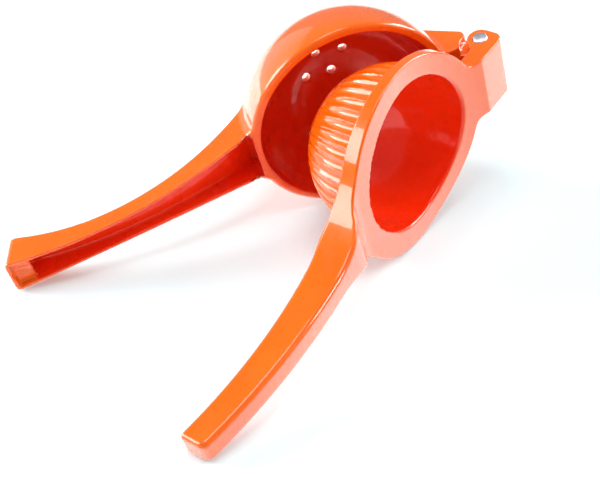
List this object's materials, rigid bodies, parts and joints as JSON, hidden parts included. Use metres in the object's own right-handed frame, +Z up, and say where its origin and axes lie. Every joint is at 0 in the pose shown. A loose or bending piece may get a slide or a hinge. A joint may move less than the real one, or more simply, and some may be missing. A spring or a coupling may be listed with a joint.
{
  "type": "hinged citrus squeezer",
  "caption": "Hinged hand press for halved citrus fruit: a drained cup arm and a fluted dome press arm, both enamelled metal, turning on a steel pin.",
  "frame": {"origin": "middle of the footprint of the tool's bounding box, on the surface it lies on", "axes": "+Z up, away from the surface the tool lies on its side on; +X from the free ends of the handles towards the hinge; +Y from the press arm's side towards the back of the cup"},
  "size_m": [0.2092, 0.1662, 0.0844],
  "materials": {
    "cup_enamel": "glossy orange enamel on cast metal",
    "press_enamel": "glossy orange enamel on cast metal",
    "pin_steel": "bare steel, lightly polished"
  },
  "bodies": {
    "cup_side": {"cup_arm": "cup_enamel"},
    "press_side": {"press_arm": "press_enamel", "hinge_pin": "pin_steel"}
  },
  "joints": [
    {"name": "press_hinge", "type": "hinge", "parent": "cup_side", "child": "press_side", "pos_m": [0.09461, 0.03543, 0.05436], "axis": [-0.2272, -0.1122, 0.9674], "range_deg": [-32.5, 99.5]}
  ]
}
